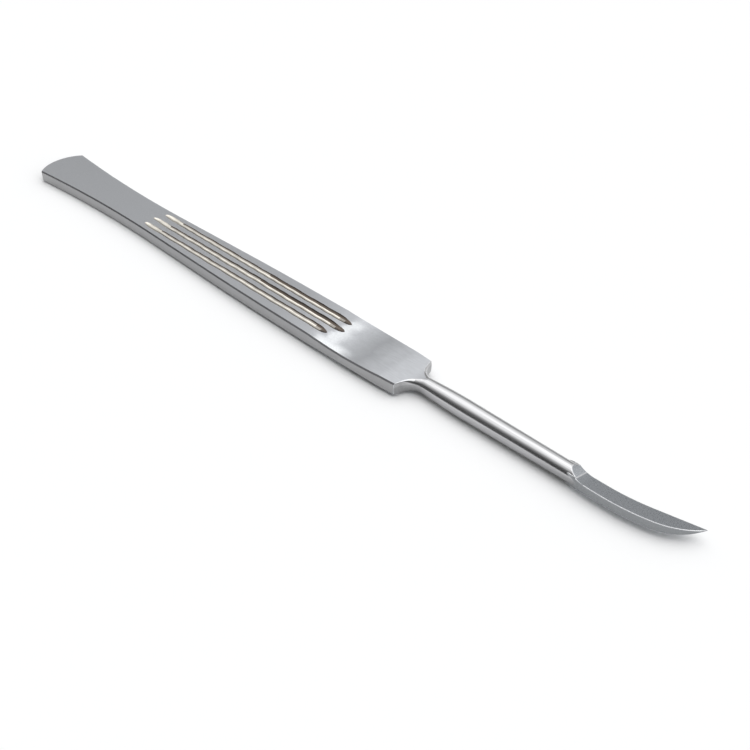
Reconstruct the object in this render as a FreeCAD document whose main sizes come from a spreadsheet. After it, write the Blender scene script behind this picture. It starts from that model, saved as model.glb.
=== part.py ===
"""One-piece forged surgical knife with a fluted flat handle and a small curved blade.

The knife is modelled flat about its middle plane: X runs from the tail to the tip of the blade,
Y across the handle, Z through its thickness. The finished body is then laid on the surface as it
comes to rest, on its tail and on the thickest place of the round shank.
"""
import FreeCAD, Part
import math
import os
import Sketcher

doc = FreeCAD.newDocument("surgical_knife")

# Driving sizes, in millimetres
SIZES = [
    ("shank_length", 44.9, "shoulder corners to the place where the blade's bevels are at full depth"),
    ("blade_length", 22.0, "that place to the tip"),
    ("thickness", 3.0, "flat handle"),
    ("tail_bow", 2.6, "how far the rounded tail stands out"),
    ("tail_width", 13.3, "across the tail's corners"),
    ("tail_straight", 0.1, "short straight stretch in the middle of the tail, which the knife lies on"),
    ("tail_corner", 0.45, "rounding of the tail's corners"),
    ("waist_place", 38.0, "tail to the narrowest place of the handle"),
    ("waist_width", 9.96, "across the narrowest place"),
    ("waist_to_hip", 56.0, "from there to the hip"),
    ("hip_bow", 19.599, "length of the bow of the handle's side up to the hip"),
    ("hip_width", 12.5, "across the handle where that bow ends"),
    ("flank_length", 20.0, "straight flank after it"),
    ("flank_flare", 0.34, "how much wider the handle is at the end of the flank"),
    ("front_bow", 19.1, "length of the bow from there to the shoulder"),
    ("shoulder_width", 11.4, "across the shoulder corners"),
    ("scoop_setback", 14.8, "shoulder to the deepest place of the finger scoop"),
    ("scoop_depth", 0.3, "depth of the finger scoop on each face"),
    ("scoop_radius", 190.0, "hollow of the finger scoop"),
    ("flute_radius", 1.2, "edge of the wheel that ground the flutes"),
    ("flute_wheel", 34.0, "radius of the flutes' run-outs"),
    ("flute_spacing", 2.92, "from flute to flute"),
    ("flute_tail_depth", 0.25, "depth of the flutes at the tail end"),
    ("near_flute_start", 48.1, "tail to where the flute reaches its depth"),
    ("near_flute_setback", 26.6, "shoulder to where the flute starts to run out"),
    ("near_flute_depth", 0.38, "depth of the flute there"),
    ("middle_flute_start", 48.0, "as for the near flute"),
    ("middle_flute_setback", 25.2, "as for the near flute"),
    ("middle_flute_depth", 0.55, "as for the near flute"),
    ("far_flute_start", 49.0, "as for the near flute"),
    ("far_flute_setback", 25.2, "as for the near flute"),
    ("far_flute_depth", 0.46, "as for the near flute"),
    ("neck_setout", 3.9, "shoulder to the thinnest place of the shank"),
    ("neck_diameter", 3.74, "shank there"),
    ("shoulder_hollow", 3.6, "radius of the hollow shoulder"),
    ("belly_setout", 13.9, "shoulder to the thickest place of the shank"),
    ("belly_diameter", 4.34, "shank there"),
    ("belly_radius", 130.0, "swell of the shank"),
    ("ramp_setout", 0.7, "shoulder to where the flat faces start to rise to the shank"),
    ("ramp_radius", 15.0, "hollow of that rise"),
    ("root_diameter", 3.8, "shank at the blade"),
    ("wheel_radius", 6.5, "run-out of the blade's bevels into the shank"),
    ("spine_out", 2.13, "back of the blade from the middle line"),
    ("spine_thickness", 1.95, "back of the blade"),
    ("edge_thickness", 0.1, "land left at the cutting edge"),
    ("flare_length", 2.0, "root to where the back has come out of the shank"),
    ("flare_radius", 34.0, "bow of the back as it leaves the shank"),
    ("spine_straight", 2.0, "straight stretch of the back after it"),
    ("spine_radius", 46.0, "curve of the back"),
    ("tip_bow", 8.0, "length of the back's turn to the tip"),
    ("edge_straight", 2.5, "straight stretch of the cutting edge"),
    ("edge_radius", 46.0, "curve of the cutting edge"),
    ("tip_out", 5.04, "tip of the blade from the middle line"),
]

sheet = doc.addObject("Spreadsheet::Sheet", "sizes")
for row, (alias, number, note) in enumerate(SIZES, start=1):
    sheet.set(f"A{row}", note)
    sheet.set(f"B{row}", str(number))
    sheet.setAlias(f"B{row}", alias)
doc.recompute()

body = doc.addObject("PartDesign::Body", "scalpel")
body.Label = "scalpel"

ORIGIN = (-1, 1)
X_AXIS = -1
START, END, CENTRE = range(1, 4)

# Places along the knife, counted from the tail
TO_SHOULDER = ("waist_place", "waist_to_hip", "flank_length", "front_bow")
HIP = "(sizes.waist_place + sizes.waist_to_hip)"
FRONT = f"({HIP} + sizes.flank_length)"
SHOULDER = f"({FRONT} + sizes.front_bow)"
SCOOP = f"({SHOULDER} - sizes.scoop_setback)"
RAMP = f"({SHOULDER} + sizes.ramp_setout)"
NECK = f"({SHOULDER} + sizes.neck_setout)"
BELLY = f"({SHOULDER} + sizes.belly_setout)"
ROOT = f"({SHOULDER} + sizes.shank_length)"
TIP = f"({ROOT} + sizes.blade_length)"


def size(alias):
    """Number held by one cell of the sheet."""
    return float(sheet.get(alias))


def place(*aliases):
    """Place along the knife: the sum of sizes, each taken off where its name starts with a minus."""
    return sum(-size(alias[1:]) if alias.startswith("-") else size(alias) for alias in aliases)


def vector(point):
    return FreeCAD.Vector(point[0], point[1], 0)


def origin_plane(role):
    return [item for item in body.Origin.OriginFeatures if item.Role == role][0]


class Outline:
    """A sketch on one of the body's own planes, with points and radii tied to the sheet."""

    def __init__(self, name, role, lift=None):
        self.sketch = body.newObject("Sketcher::SketchObject", name)
        self.sketch.AttachmentSupport = [(origin_plane(role), "")]
        self.sketch.MapMode = "FlatFace"
        if lift:
            self.sketch.setExpression("AttachmentOffset.Base.z", lift)
            doc.recompute()

    def line(self, first, second, construction=False):
        edge = Part.LineSegment(vector(first), vector(second))
        return self.sketch.addGeometry(edge, construction)

    def arc(self, centre, radius, first, second):
        """Counter-clockwise arc between the directions of two points."""
        angles = [math.atan2(p[1] - centre[1], p[0] - centre[0]) for p in (first, second)]
        if angles[1] < angles[0]:
            angles[1] += 2 * math.pi
        circle = Part.Circle(vector(centre), FreeCAD.Vector(0, 0, 1), radius)
        return self.sketch.addGeometry(Part.ArcOfCircle(circle, angles[0], angles[1]), False)

    def circle(self, centre, radius):
        return self.sketch.addGeometry(
            Part.Circle(vector(centre), FreeCAD.Vector(0, 0, 1), radius), False)

    def point(self, where):
        return self.sketch.addGeometry(Part.Point(vector(where)), True)

    def rule(self, kind, *where):
        return self.sketch.addConstraint(Sketcher.Constraint(kind, *where))

    def join(self, *pairs):
        for first, second in pairs:
            self.rule("Coincident", *first, *second)

    def smooth(self, *pairs):
        for first, second in pairs:
            self.rule("Tangent", *first, *second)

    def tie(self, kind, where, now, formula):
        index = self.rule(kind, *where, now)
        self.sketch.setExpression(f"Constraints[{index}]", formula)

    def radius(self, geometry, formula):
        self.tie("Radius", (geometry,), self.sketch.Geometry[geometry].Radius, formula)

    def across(self, point, formula, below=False):
        """Distance of a point along the sketch's first axis, or behind its origin."""
        ends = (*point, *ORIGIN) if below else (*ORIGIN, *point)
        self.tie("DistanceX", ends, abs(self.sketch.getPoint(*point).x), formula)

    def up(self, point, formula, below=False):
        """Distance of a point along the sketch's second axis, or below its origin."""
        ends = (*point, *ORIGIN) if below else (*ORIGIN, *point)
        self.tie("DistanceY", ends, abs(self.sketch.getPoint(*point).y), formula)

    def place(self, point, across, up):
        self.across(point, across)
        self.up(point, up)


def pad(name, outline, thickness):
    feature = body.newObject("PartDesign::Pad", name)
    feature.Profile = outline.sketch
    feature.SideType = "Symmetric"
    feature.setExpression("Length", thickness)
    doc.recompute()
    return feature


def pocket(name, outline):
    """Cut across the whole width, to both sides of the middle."""
    feature = body.newObject("PartDesign::Pocket", name)
    feature.Profile = outline.sketch
    feature.SideType = "Symmetric"
    feature.setExpression("Length", "sizes.tail_width * 2")
    doc.recompute()
    return feature


def mirrored(name, originals, role):
    feature = body.newObject("PartDesign::Mirrored", name)
    feature.Originals = originals
    feature.MirrorPlane = (origin_plane(role), [""])
    body.Tip = feature
    doc.recompute()
    return feature


def tangent_centre(point, slope, radius):
    """Centre of an arc, bent down, that touches a line of that slope at a point."""
    return (point[0] + radius * math.sin(slope), point[1] - radius * math.cos(slope))


def handle_blank():
    """Flat blank: rounded tail, waist, flank, front bow, and stock left for the neck."""
    bow, tail = size("tail_bow"), size("tail_width") / 2
    waist, straight = size("waist_width") / 2, size("tail_straight") / 2
    shoulder = size("shoulder_width") / 2
    stock_end = place(*TO_SHOULDER, "belly_setout")
    plan = Outline("handle_plan", "XY_Plane")
    tail_radius = ((tail - straight) ** 2 + bow ** 2) / (2 * bow)
    corner = (bow, tail)
    tail_arc = plan.arc((tail_radius, straight), tail_radius, corner, (0, straight))
    tail_line = plan.line((0, straight), (0, 0))

    rise = tail - waist
    run = size("waist_place") - bow
    waist_radius = (run ** 2 + rise ** 2) / (2 * rise)
    waist_centre = (size("waist_place"), waist + waist_radius)

    hip = (place("waist_place", "waist_to_hip"), size("hip_width") / 2)
    front = (hip[0] + size("flank_length"), hip[1] + size("flank_flare") / 2)
    lean = math.atan2(front[1] - hip[1], size("flank_length"))
    hip_start = hip
    for _ in range(12):
        across, down = hip_start[0] - waist_centre[0], waist_centre[1] - hip_start[1]
        slope = math.atan2(across, down) - math.acos(waist_radius / math.hypot(across, down))
        hip_radius = size("hip_bow") / (math.sin(slope) - math.sin(lean))
        hip_centre = tangent_centre(hip, lean, hip_radius)
        hip_start = (hip[0] - size("hip_bow"), hip_centre[1] + hip_radius * math.cos(slope))
    waist_end = (waist_centre[0] + waist_radius * math.sin(slope),
                 waist_centre[1] - waist_radius * math.cos(slope))
    waist_arc = plan.arc(waist_centre, waist_radius, corner, waist_end)
    flare = plan.line(waist_end, hip_start)
    hip_arc = plan.arc(hip_centre, hip_radius, hip, hip_start)

    flank = plan.line(hip, front)
    fall = front[1] - shoulder
    front_radius = ((size("front_bow") ** 2 + fall ** 2) / 2
                    / (size("front_bow") * math.sin(lean) + fall * math.cos(lean)))
    end = (place(*TO_SHOULDER), shoulder)
    front_arc = plan.arc(tangent_centre(front, lean, front_radius), front_radius, end, front)

    stock = plan.line(end, (stock_end, shoulder))
    stop = plan.line((stock_end, shoulder), (stock_end, 0))
    middle = plan.line((stock_end, 0), (0, 0))

    plan.join(((tail_line, END), ORIGIN), ((tail_arc, START), (waist_arc, START)),
              ((front_arc, START), (stock, START)), ((stock, END), (stop, START)),
              ((stop, END), (middle, START)), ((middle, END), ORIGIN))
    plan.smooth(((tail_arc, END), (tail_line, START)),
                ((waist_arc, END), (flare, START)), ((flare, END), (hip_arc, END)),
                ((hip_arc, START), (flank, START)), ((flank, END), (front_arc, END)))
    plan.rule("Horizontal", stock)
    plan.rule("Vertical", stop)
    plan.rule("Vertical", tail_line)
    plan.rule("PointOnObject", stop, END, X_AXIS)
    plan.up((tail_line, START), "sizes.tail_straight / 2")
    plan.place((waist_arc, START), "sizes.tail_bow", "sizes.tail_width / 2")
    plan.across((waist_arc, CENTRE), "sizes.waist_place")
    plan.radius(waist_arc, "((sizes.waist_place - sizes.tail_bow) ^ 2"
                " + ((sizes.tail_width - sizes.waist_width) / 2) ^ 2)"
                " / (sizes.tail_width - sizes.waist_width)")
    plan.place((flank, START), HIP, "sizes.hip_width / 2")
    plan.tie("DistanceX", (hip_arc, END, hip_arc, START), size("hip_bow"), "sizes.hip_bow")
    plan.place((flank, END), FRONT, "(sizes.hip_width + sizes.flank_flare) / 2")
    plan.place((front_arc, START), SHOULDER, "sizes.shoulder_width / 2")
    plan.across((stop, END), BELLY)
    half = pad("half_blank", plan, "sizes.thickness")
    return mirrored("handle_blank", [half], "XZ_Plane")


def shank_blank():
    """Round stock for the shank, started inside the handle."""
    section = Outline("shank_section", "YZ_Plane", SHOULDER + " - sizes.thickness")
    ring = section.circle((0, 0), size("belly_diameter") / 2 + 0.3)
    section.join(((ring, CENTRE), ORIGIN))
    section.radius(ring, "sizes.belly_diameter / 2 + sizes.tail_corner")
    feature = body.newObject("PartDesign::Pad", "shank_blank")
    feature.Profile = section.sketch
    feature.setExpression("Length", "sizes.shank_length + sizes.thickness")
    doc.recompute()
    return feature


def turned_shoulder():
    """Shoulder, neck, belly and taper of the shank, turned from the two blanks."""
    clear = size("tail_width")
    corner = (place(*TO_SHOULDER), math.hypot(size("shoulder_width"), size("thickness")) / 2)
    neck, hollow = size("neck_diameter") / 2, size("shoulder_hollow")
    belly, swell = size("belly_diameter") / 2, size("belly_radius")
    root = (place(*TO_SHOULDER, "shank_length"), size("root_diameter") / 2)
    crest_x = place(*TO_SHOULDER, "belly_setout")
    profile = Outline("shank_profile", "XY_Plane")
    centre = (place(*TO_SHOULDER, "neck_setout"), neck + hollow)
    face_end = (centre[0] - 0.97 * hollow, centre[1] - 0.23 * hollow)
    face = profile.line(corner, face_end)
    neck_end = (centre[0] + 0.035 * hollow, neck)
    fillet = profile.arc(centre, hollow, face_end, neck_end)
    belly_start = (crest_x - 0.035 * swell, belly - 0.08)
    belly_end = (crest_x + 0.0107 * swell, belly - 0.01)
    rise = profile.line(neck_end, belly_start)
    crest = profile.arc((crest_x, belly - swell), swell, belly_end, belly_start)
    taper = profile.line(belly_end, root)
    out = profile.line(root, (root[0], clear))
    back = profile.line((root[0], clear), (corner[0], clear))
    down = profile.line((corner[0], clear), corner)

    profile.join(((taper, END), (out, START)), ((out, END), (back, START)),
                 ((back, END), (down, START)), ((down, END), (face, START)))
    profile.smooth(((face, END), (fillet, START)), ((fillet, END), (rise, START)),
                   ((rise, END), (crest, END)), ((crest, START), (taper, START)))
    profile.rule("Vertical", out)
    profile.rule("Vertical", down)
    profile.rule("Horizontal", back)
    profile.place((face, START), SHOULDER,
                  "sqrt(sizes.shoulder_width ^ 2 + sizes.thickness ^ 2) / 2")
    profile.radius(fillet, "sizes.shoulder_hollow")
    profile.place((fillet, CENTRE), NECK,
                  "sizes.neck_diameter / 2 + sizes.shoulder_hollow")
    profile.radius(crest, "sizes.belly_radius")
    profile.across((crest, CENTRE), BELLY)
    profile.up((crest, CENTRE), "sizes.belly_radius - sizes.belly_diameter / 2", below=True)
    profile.place((taper, END), ROOT, "sizes.root_diameter / 2")
    profile.up((back, START), "sizes.tail_width")
    feature = body.newObject("PartDesign::Groove", "turned_shoulder")
    feature.Profile = profile.sketch
    feature.ReferenceAxis = (profile.sketch, ["H_Axis"])
    feature.Angle = 360
    doc.recompute()
    return feature


def finger_scoop():
    """Shallow hollow across the upper face."""
    deepest = place(*TO_SHOULDER, "-scoop_setback")
    depth, hollow = size("scoop_depth"), size("scoop_radius")
    top = size("thickness") / 2
    reach = math.sqrt(2 * hollow * depth - depth ** 2)
    tail_side, front_side = (deepest - reach, top), (deepest + reach, top)
    side = Outline("scoop_side", "XZ_Plane")
    centre = (deepest, top - depth + hollow)
    bow = side.arc(centre, hollow, tail_side, front_side)
    front = side.line(front_side, (front_side[0], 2 * top))
    over = side.line((front_side[0], 2 * top), (tail_side[0], 2 * top))
    tail = side.line((tail_side[0], 2 * top), tail_side)
    side.join(((bow, END), (front, START)), ((front, END), (over, START)),
              ((over, END), (tail, START)), ((tail, END), (bow, START)))
    side.rule("Vertical", front)
    side.rule("Vertical", tail)
    side.rule("Horizontal", over)
    side.radius(bow, "sizes.scoop_radius")
    side.place((bow, CENTRE), SCOOP,
               "sizes.thickness / 2 - sizes.scoop_depth + sizes.scoop_radius")
    side.up((bow, START), "sizes.thickness / 2")
    side.up((over, START), "sizes.thickness")
    return pocket("finger_scoop", side)


def neck_ramp():
    """Rise of the upper face from the handle onto the round shank."""
    top, start, hollow = size("thickness") / 2, place(*TO_SHOULDER, "ramp_setout"), size("ramp_radius")
    tail_x, high = start - 2 * size("thickness"), 2 * size("belly_diameter")
    side = Outline("ramp_side", "XZ_Plane")
    foot, head = (start, top), (start + 0.5 * hollow, top + 0.14 * hollow)
    flat = side.line((tail_x, top), foot)
    bow = side.arc((start, top + hollow), hollow, foot, head)
    up = side.line(head, (head[0], high))
    over = side.line((head[0], high), (tail_x, high))
    down = side.line((tail_x, high), (tail_x, top))
    side.smooth(((flat, END), (bow, START)))
    side.join(((bow, END), (up, START)), ((up, END), (over, START)),
              ((over, END), (down, START)), ((down, END), (flat, START)))
    side.rule("Horizontal", flat)
    side.rule("Horizontal", over)
    side.rule("Vertical", up)
    side.rule("Vertical", down)
    side.place((flat, END), RAMP, "sizes.thickness / 2")
    side.radius(bow, "sizes.ramp_radius")
    side.across((bow, END), RAMP + " + sizes.ramp_radius / 2")
    side.across((down, START), RAMP + " - 2 * sizes.thickness")
    side.up((down, START), "2 * sizes.belly_diameter")
    return pocket("neck_ramp", side)


def flute(name, steps):
    """One hollow flute, ground by a wheel that plunges, runs along and lifts out."""
    top, edge, wheel = size("thickness") / 2, size("flute_radius"), size("flute_wheel")
    shallow = top - size("flute_tail_depth") + edge
    deep = top - size(name + "_depth") + edge
    start = (size(name + "_start"), shallow)
    stop = (place(*TO_SHOULDER, f"-{name}_setback"), deep)
    path = Outline(name + "_path", "XZ_Plane", f"{-steps} * sizes.flute_spacing")
    first = (start[0] - 0.2 * wheel, shallow + 0.02 * wheel)
    last = (stop[0] + 0.22 * wheel, deep + 0.025 * wheel)
    plunge = path.arc((start[0], shallow + wheel), wheel, first, start)
    run = path.line(start, stop)
    lift = path.arc((stop[0], deep + wheel), wheel, stop, last)
    path.smooth(((plunge, END), (run, START)), ((run, END), (lift, START)))
    path.radius(plunge, "sizes.flute_wheel")
    path.radius(lift, "sizes.flute_wheel")
    path.place((run, START), f"sizes.{name}_start",
               "sizes.thickness / 2 - sizes.flute_tail_depth + sizes.flute_radius")
    path.place((run, END), f"{SHOULDER} - sizes.{name}_setback",
               f"sizes.thickness / 2 - sizes.{name}_depth + sizes.flute_radius")
    clear = "sizes.thickness / 2 + sizes.flute_radius + sizes.flute_tail_depth"
    path.up((plunge, START), clear)
    path.up((lift, END), clear)
    doc.recompute()

    section = body.newObject("Sketcher::SketchObject", name + "_section")
    section.AttachmentSupport = [(path.sketch, "Edge1")]
    section.MapMode = "NormalToEdge"
    section.MapPathParameter = 0
    ring = section.addGeometry(Part.Circle(FreeCAD.Vector(), FreeCAD.Vector(0, 0, 1), edge), False)
    section.addConstraint(Sketcher.Constraint("Coincident", ring, CENTRE, *ORIGIN))
    rim = section.addConstraint(Sketcher.Constraint("Radius", ring, edge))
    section.setExpression(f"Constraints[{rim}]", "sizes.flute_radius")
    doc.recompute()

    feature = body.newObject("PartDesign::SubtractivePipe", name)
    feature.Profile = section
    feature.Spine = (path.sketch, ["Edge1", "Edge2", "Edge3"])
    doc.recompute()
    return feature


def far_side(plan, beyond):
    """Cutting edge: straight from the root, hollow, then straight to the tip and beyond it."""
    edge = size("root_diameter") / 2
    root = (place(*TO_SHOULDER, "shank_length"), edge)
    bend = (root[0] + size("edge_straight"), edge)
    hollow = size("edge_radius")
    tip = (root[0] + size("blade_length"), size("tip_out"))
    turn = (bend[0] + 0.214 * hollow, edge + 0.022 * hollow)
    last = (tip[0] + beyond, tip[1] + 0.21 * beyond)
    straight = plan.line(root, bend)
    bow = plan.arc((bend[0], edge + hollow), hollow, bend, turn)
    run = plan.line(turn, last)
    plan.smooth(((straight, END), (bow, START)), ((bow, END), (run, START)))
    plan.rule("Horizontal", straight)
    plan.place((straight, START), ROOT, "sizes.root_diameter / 2")
    plan.across((straight, END), ROOT + " + sizes.edge_straight")
    plan.radius(bow, "sizes.edge_radius")
    return straight, bow, run


def blade_blank():
    """Flat stock of the blade: back bowed to the tip, hollow cutting edge opposite."""
    root = place(*TO_SHOULDER, "shank_length")
    tip = (root + size("blade_length"), size("tip_out"))
    out, flare_radius = size("spine_out"), size("flare_radius")
    flare_end = (root + size("flare_length"), -out)
    shank_x = root - size("root_diameter") * 1.4
    flare_start = (shank_x, -out + (flare_end[0] - shank_x) ** 2 / (2 * flare_radius))
    bend = (flare_end[0] + size("spine_straight"), -out)
    curve = size("spine_radius")
    turn_x = tip[0] - size("tip_bow")
    turn = (turn_x, -out + (turn_x - bend[0]) ** 2 / (2 * curve))
    plan = Outline("blade_plan", "XY_Plane")
    straight, hollow, run = far_side(plan, 0)
    flare = plan.arc((flare_end[0], flare_radius - out), flare_radius, flare_start, flare_end)
    back = plan.line(flare_end, bend)
    bow = plan.arc((bend[0], curve - out), curve, bend, turn)
    heading = math.asin((turn_x - bend[0]) / curve)
    aside = (tip[1] - turn[1]) * math.cos(heading) - size("tip_bow") * math.sin(heading)
    tip_radius = math.hypot(size("tip_bow"), tip[1] - turn[1]) ** 2 / (2 * aside)
    tip_centre = (turn_x - tip_radius * math.sin(heading), turn[1] + tip_radius * math.cos(heading))
    point = plan.arc(tip_centre, tip_radius, turn, tip)
    slant = plan.line((root, size("root_diameter") / 2), (shank_x, 0))
    inside = plan.line((shank_x, 0), flare_start)
    plan.smooth(((flare, END), (back, START)), ((back, END), (bow, START)),
                ((bow, END), (point, START)))
    plan.join(((point, END), (run, END)), ((straight, START), (slant, START)),
              ((slant, END), (inside, START)), ((inside, END), (flare, START)))
    plan.rule("Horizontal", back)
    plan.rule("Vertical", inside)
    plan.rule("PointOnObject", slant, END, X_AXIS)
    plan.across((slant, END), ROOT + " - 1.4 * sizes.root_diameter")
    plan.radius(flare, "sizes.flare_radius")
    plan.across((back, START), ROOT + " + sizes.flare_length")
    plan.up((back, START), "sizes.spine_out", below=True)
    plan.across((back, END), ROOT + " + sizes.flare_length + sizes.spine_straight")
    plan.radius(bow, "sizes.spine_radius")
    plan.across((bow, END), TIP + " - sizes.tip_bow")
    plan.place((point, END), TIP, "sizes.tip_out")
    return pad("blade_blank", plan, "sizes.spine_thickness + 5 * sizes.edge_thickness")


SLOPE = "((sizes.spine_thickness - sizes.edge_thickness) / (2 * sizes.spine_out + sizes.root_diameter))"


def bevel():
    """Waste above the ground face, carried along the cutting edge."""
    edge, land = size("root_diameter") / 2, size("edge_thickness") / 2
    slope = (size("spine_thickness") - size("edge_thickness")) / (2 * size("spine_out") + 2 * edge)
    reach, high = size("tail_width") / 2, size("belly_diameter")
    clear = edge + 0.1 * reach
    path = Outline("edge_path", "XY_Plane")
    straight, hollow, run = far_side(path, size("root_diameter"))
    path.across((run, END), TIP + " + sizes.root_diameter")
    tip = path.point((place(*TO_SHOULDER, "shank_length", "blade_length"), size("tip_out")))
    path.place((tip, START), TIP, "sizes.tip_out")
    path.rule("PointOnObject", tip, START, run)

    waste = Outline("bevel_section", "YZ_Plane", ROOT)
    points = [(clear, land), (edge, land), (-reach, land + slope * (reach + edge)),
              (-reach, high), (clear, high)]
    sides = [waste.line(points[i], points[(i + 1) % 5]) for i in range(5)]
    waste.join(*[((sides[i], END), (sides[(i + 1) % 5], START)) for i in range(5)])
    for i in (0, 3):
        waste.rule("Horizontal", sides[i])
    for i in (2, 4):
        waste.rule("Vertical", sides[i])
    waste.place((sides[1], START), "sizes.root_diameter / 2", "sizes.edge_thickness / 2")
    waste.across((sides[0], START), "sizes.root_diameter / 2 + sizes.tail_width / 20")
    waste.across((sides[2], START), "sizes.tail_width / 2", below=True)
    waste.up((sides[2], START), "sizes.edge_thickness / 2"
             f" + {SLOPE} * (sizes.tail_width + sizes.root_diameter) / 2")
    waste.up((sides[3], START), "sizes.belly_diameter")
    feature = body.newObject("PartDesign::SubtractivePipe", "bevel")
    feature.Profile = waste.sketch
    feature.Spine = (path.sketch, ["Edge1", "Edge2", "Edge3"])
    doc.recompute()
    return feature


def bevel_run_out():
    """Round end of the ground face, left in the shank by the grinding wheel."""
    edge, land = size("root_diameter") / 2, size("edge_thickness") / 2
    slope = (size("spine_thickness") - size("edge_thickness")) / (2 * size("spine_out") + 2 * edge)
    reach, wheel = size("tail_width") / 2, size("wheel_radius")
    tilt = math.atan(slope)
    shift = (wheel * math.sin(tilt), wheel * math.cos(tilt))
    far = (reach, land - slope * (reach - edge))
    near = (-reach, land + slope * (reach + edge))
    far_top = (far[0] + shift[0], far[1] + shift[1])
    near_top = (near[0] + shift[0], near[1] + shift[1])
    track = Outline("wheel_track", "YZ_Plane", ROOT)
    face = track.line(far, near)
    rise = track.line(near, near_top)
    axle = track.line(near_top, far_top)
    fall = track.line(far_top, far)
    axis = track.line(near_top, far_top, construction=True)
    track.join(((face, END), (rise, START)), ((rise, END), (axle, START)),
               ((axle, END), (fall, START)), ((fall, END), (face, START)),
               ((axis, START), (axle, START)), ((axis, END), (axle, END)))
    track.rule("Perpendicular", face, rise)
    track.rule("Perpendicular", face, fall)
    track.rule("Parallel", face, axle)
    track.tie("Distance", (rise,), wheel, "sizes.wheel_radius")
    track.across((face, START), "sizes.tail_width / 2")
    track.across((face, END), "sizes.tail_width / 2", below=True)
    track.up((face, END), "sizes.edge_thickness / 2"
             f" + {SLOPE} * (sizes.tail_width + sizes.root_diameter) / 2")
    track.tie("DistanceY", (face, START, face, END), near[1] - far[1], f"{SLOPE} * sizes.tail_width")
    feature = body.newObject("PartDesign::Groove", "bevel_run_out")
    feature.Profile = track.sketch
    feature.ReferenceAxis = (track.sketch, ["Axis0"])
    feature.Midplane = True
    feature.Angle = 180
    doc.recompute()
    return feature


def tail_corners():
    """Rounded upright edges at the tail's two corners."""
    base = body.Tip
    reach = size("tail_bow") + size("tail_corner")
    names = []
    for number, edge in enumerate(base.Shape.Edges, start=1):
        box = edge.BoundBox
        upright = box.ZLength > 0.5 * size("thickness") and box.XLength < 0.1 * size("tail_corner")
        if upright and box.XMin < reach:
            names.append(f"Edge{number}")
    feature = body.newObject("PartDesign::Fillet", "tail_corners")
    feature.Base = (base, names)
    feature.setExpression("Radius", "sizes.tail_corner")
    doc.recompute()
    return feature


def report(feature):
    print(feature.Name, feature.State, round(feature.Shape.Volume, 2), feature.Shape.isValid())
    return feature


report(handle_blank())
report(tail_corners())
report(shank_blank())
report(turned_shoulder())
upper = [report(finger_scoop()), report(neck_ramp())]
for name, count in (("near_flute", -1), ("middle_flute", 0), ("far_flute", 1)):
    upper.append(report(flute(name, count)))
report(blade_blank())
upper += [report(bevel()), report(bevel_run_out())]
report(mirrored("under_side", upper, "XY_Plane"))

# The knife lies on its tail and on the belly of the shank
fall = f"(sizes.belly_diameter - sizes.thickness) / 2 / {BELLY}"
body.Placement = FreeCAD.Placement(FreeCAD.Vector(), FreeCAD.Rotation(FreeCAD.Vector(0, -1, 0), 1))
body.setExpression("Placement.Rotation.Angle", f"atan({fall})")
body.setExpression("Placement.Base.x", "-" + TIP + " / 2")
body.setExpression("Placement.Base.z", "sizes.thickness / 2")
doc.recompute()

for item in doc.Objects:
    if "Invalid" in item.State or "Error" in item.State:
        raise SystemExit(f"{item.Name}: {item.State}")
shape = body.Shape
if shape.isNull() or not shape.isValid() or len(shape.Solids) != 1:
    raise SystemExit("scalpel: the shape is not one valid solid")
box = shape.BoundBox
print("scalpel", round(shape.Volume, 2), [round(v, 3) for v in
      (box.XMin, box.XMax, box.YMin, box.YMax, box.ZMin, box.ZMax)], len(shape.Faces), "faces")
os.makedirs("parts", exist_ok=True)
shape.exportStep("parts/scalpel.step")
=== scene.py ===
# %% [markdown]
# # A one-piece surgical knife
#
# The real knife is forged from one bar of stainless steel, then ground and polished by hand. It has
# a flat handle with a flared tail and three flutes, a round shank, and a small curved blade.
#
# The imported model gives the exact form, but as a few thousand loose triangles: too coarse for
# polished steel, where every facet shows as a step in the reflection. Bevels and a subdivision on
# those triangles would only round the steps. So this lesson makes one finer mesh of the same form,
# which stands for the node, and then the finishes and the light.

import math

import bpy
import numpy as np
from mathutils import Matrix, Vector


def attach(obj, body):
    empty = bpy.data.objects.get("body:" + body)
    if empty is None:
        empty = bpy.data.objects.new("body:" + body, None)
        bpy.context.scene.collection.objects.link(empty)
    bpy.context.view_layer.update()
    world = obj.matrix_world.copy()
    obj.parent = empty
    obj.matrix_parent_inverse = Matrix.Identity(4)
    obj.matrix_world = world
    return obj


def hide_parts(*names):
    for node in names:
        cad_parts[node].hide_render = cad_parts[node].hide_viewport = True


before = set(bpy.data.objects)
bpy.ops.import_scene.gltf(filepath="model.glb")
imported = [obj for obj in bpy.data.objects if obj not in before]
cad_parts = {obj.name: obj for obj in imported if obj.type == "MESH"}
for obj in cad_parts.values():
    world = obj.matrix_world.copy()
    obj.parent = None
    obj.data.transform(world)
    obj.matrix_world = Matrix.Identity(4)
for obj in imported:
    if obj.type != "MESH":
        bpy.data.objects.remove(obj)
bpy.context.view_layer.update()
bpy.ops.object.select_all(action="DESELECT")

# %% [markdown]
# ## Sizes
#
# The knife is laid out flat about its middle plane, in millimetres: X from the tail, Y across, Z
# from the middle plane. Only the last step moves it into the frame, where it lies on its tail and
# on the thickest place of its shank, with its nose a little up.

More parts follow.
